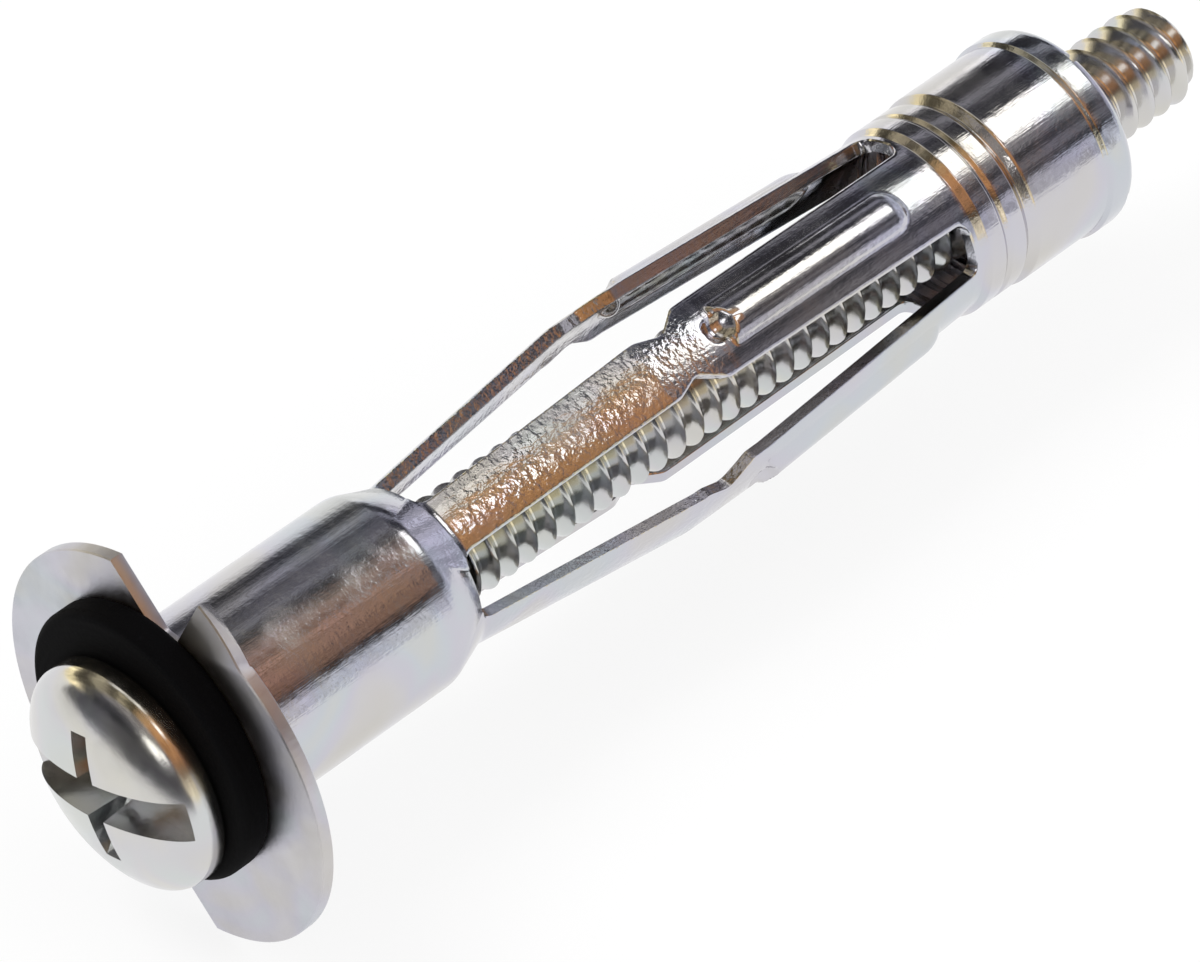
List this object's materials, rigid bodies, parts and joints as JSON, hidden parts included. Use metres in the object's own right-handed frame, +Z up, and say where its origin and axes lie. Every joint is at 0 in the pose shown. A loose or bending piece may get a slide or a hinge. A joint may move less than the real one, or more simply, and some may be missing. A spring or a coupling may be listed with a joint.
{
  "type": "hollow wall anchor",
  "caption": "Metal hollow wall anchor: flanged sleeve with legs that fold out behind a board, a machine screw, a black sealing ring and a captive nut.",
  "frame": {"origin": "centre of the flange's back face, the face that bears on the wall", "axes": "+X runs along the anchor's axis into the wall, from the screw's head to its tail; +Z is up with the anchor lying down, one flange notch at the top and one at the bottom"},
  "size_m": [0.062, 0.0178, 0.0172],
  "materials": {
    "sleeve_zinc": "bright zinc plated pressed steel",
    "screw_zinc": "bright zinc plated steel",
    "ring_black": "matte black",
    "nut_zinc": "zinc plated steel"
  },
  "bodies": {
    "sleeve_body": {"sleeve": "sleeve_zinc", "nut": "nut_zinc"},
    "ring_body": {"sealing_ring": "ring_black"},
    "screw_body": {"screw": "screw_zinc"}
  },
  "joints": [
    {"name": "screw_travel", "type": "slide", "parent": "sleeve_body", "child": "ring_body", "axis": [-1, 0, 0], "range_m": [0, 0.0127]},
    {"name": "screw_turn", "type": "hinge", "parent": "ring_body", "child": "screw_body", "pos_m": [0, 0, 0], "axis": [-1, 0, 0], "range_deg": [0, 4320]}
  ],
  "couplings": [
    {"joint": "screw_turn", "follows": "screw_travel", "rad_per_m": 5938.7}
  ]
}
